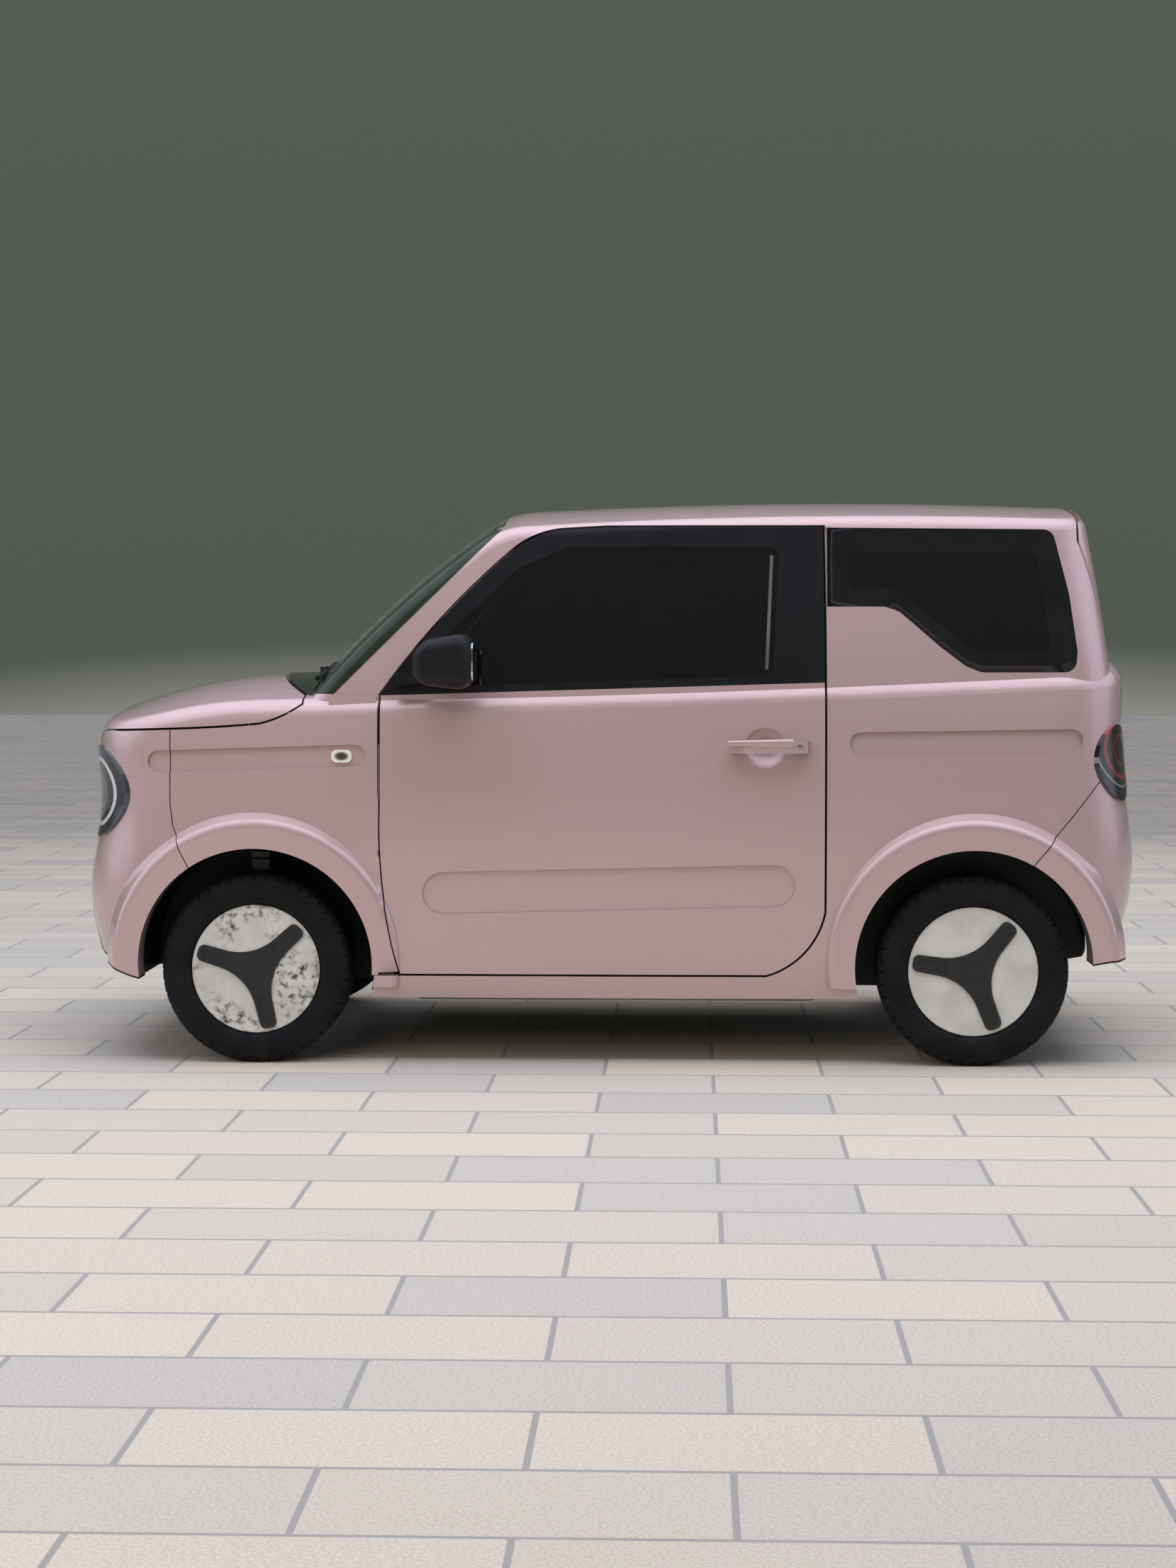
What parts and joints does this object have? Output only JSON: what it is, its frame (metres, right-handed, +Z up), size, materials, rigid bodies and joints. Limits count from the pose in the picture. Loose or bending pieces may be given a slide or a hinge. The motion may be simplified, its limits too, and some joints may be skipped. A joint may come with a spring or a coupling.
{
  "type": "small electric city car",
  "caption": "Two-door electric hatchback with opening doors, bonnet and tailgate, steered front wheels, a turning steering wheel and seats behind thin-walled panels.",
  "frame": {"origin": "on the ground under the middle of the car's length and width", "axes": "+Z up, nose towards -X, right side towards +Y"},
  "size_m": [3.0635, 1.85, 1.6011],
  "materials": {
    "pink_paint": "metallic gloss",
    "pink_bumper": "metallic gloss",
    "black_trim": "fine grain",
    "gloss_black": "gloss",
    "clear_glass": "clear",
    "dark_glass": "tinted",
    "lamp_clear": "clear over black",
    "lamp_red": "dark red",
    "lamp_white": "clear",
    "seat_cloth": "woven",
    "cabin_plastic": "matte",
    "floor_steel": "matte",
    "battery_case": "satin",
    "chassis_steel": "matte",
    "tyre": "rubber",
    "wheel_cover": "satin, scuffed"
  },
  "bodies": {
    "body": {"body_side_left": "pink_paint", "body_side_right": "pink_paint", "roof": "pink_paint", "front_wing_left": "pink_paint", "front_wing_right": "pink_paint", "front_bumper": "pink_bumper", "rear_bumper": "pink_bumper", "front_grille": "black_trim", "rear_valance": "black_trim", "cowl": "black_trim", "wipers": "black_trim", "wheel_arch_linings": "black_trim", "windscreen": "clear_glass", "quarter_glass": "dark_glass", "headlamps": "lamp_clear", "tail_lamps": "lamp_red", "side_repeaters": "lamp_white", "dashboard": "cabin_plastic", "front_seats": "seat_cloth", "rear_seat": "seat_cloth", "floor": "floor_steel", "battery_pack": "battery_case", "drive_unit": "battery_case", "rear_axle": "chassis_steel", "front_subframe": "chassis_steel"},
    "door_left": {"door_left": "pink_paint", "window_frame_left": "black_trim", "door_glass_left": "dark_glass"},
    "door_right": {"door_right": "pink_paint", "window_frame_right": "black_trim", "door_glass_right": "dark_glass"},
    "tailgate": {"tailgate": "pink_paint", "tailgate_glass": "dark_glass"},
    "bonnet": {"bonnet": "pink_paint"},
    "knuckle_left": {"knuckle_left": "chassis_steel"},
    "knuckle_right": {"knuckle_right": "chassis_steel"},
    "wheel_front_left": {"wheel_front_left": "wheel_cover", "tyre_front_left": "tyre"},
    "wheel_front_right": {"wheel_front_right": "wheel_cover", "tyre_front_right": "tyre"},
    "wheel_rear_left": {"wheel_rear_left": "wheel_cover", "tyre_rear_left": "tyre"},
    "wheel_rear_right": {"wheel_rear_right": "wheel_cover", "tyre_rear_right": "tyre"},
    "steering_wheel": {"steering_wheel": "cabin_plastic"}
  },
  "joints": [
    {"name": "door_left_hinge", "type": "hinge", "parent": "body", "child": "door_left", "pos_m": [-0.562, -0.716, 0.9], "axis": [0, 0, -1], "range_deg": [0, 65]},
    {"name": "door_right_hinge", "type": "hinge", "parent": "body", "child": "door_right", "pos_m": [-0.562, 0.716, 0.9], "axis": [0, 0, 1], "range_deg": [0, 65]},
    {"name": "tailgate_hinge", "type": "hinge", "parent": "body", "child": "tailgate", "pos_m": [1.29, 0, 1.554], "axis": [0, -1, 0], "range_deg": [0, 80]},
    {"name": "bonnet_hinge", "type": "hinge", "parent": "body", "child": "bonnet", "pos_m": [-0.818, 0, 1.04], "axis": [0, 1, 0], "range_deg": [0, 60]},
    {"name": "steer_left", "type": "hinge", "parent": "body", "child": "knuckle_left", "pos_m": [-0.988, -0.59, 0.266], "axis": [0, 0, 1], "range_deg": [-33, 33]},
    {"name": "steer_right", "type": "hinge", "parent": "body", "child": "knuckle_right", "pos_m": [-0.988, 0.59, 0.266], "axis": [0, 0, 1], "range_deg": [-33, 33]},
    {"name": "steering_wheel_turn", "type": "hinge", "parent": "body", "child": "steering_wheel", "pos_m": [-0.3, -0.32, 0.88], "axis": [0.9063, 0, 0.4226], "range_deg": [-500, 500]},
    {"name": "wheel_front_left_spin", "type": "hinge", "parent": "knuckle_left", "child": "wheel_front_left", "pos_m": [-0.988, -0.65, 0.266], "axis": [0, 1, 0], "continuous": true},
    {"name": "wheel_front_right_spin", "type": "hinge", "parent": "knuckle_right", "child": "wheel_front_right", "pos_m": [-0.988, 0.65, 0.266], "axis": [0, 1, 0], "continuous": true},
    {"name": "wheel_rear_left_spin", "type": "hinge", "parent": "body", "child": "wheel_rear_left", "pos_m": [1.027, -0.65, 0.266], "axis": [0, 1, 0], "continuous": true},
    {"name": "wheel_rear_right_spin", "type": "hinge", "parent": "body", "child": "wheel_rear_right", "pos_m": [1.027, 0.65, 0.266], "axis": [0, 1, 0], "continuous": true}
  ],
  "couplings": [
    {"joint": "steer_right", "follows": "steer_left", "ratio": 1},
    {"joint": "steering_wheel_turn", "follows": "steer_left", "ratio": 15}
  ]
}
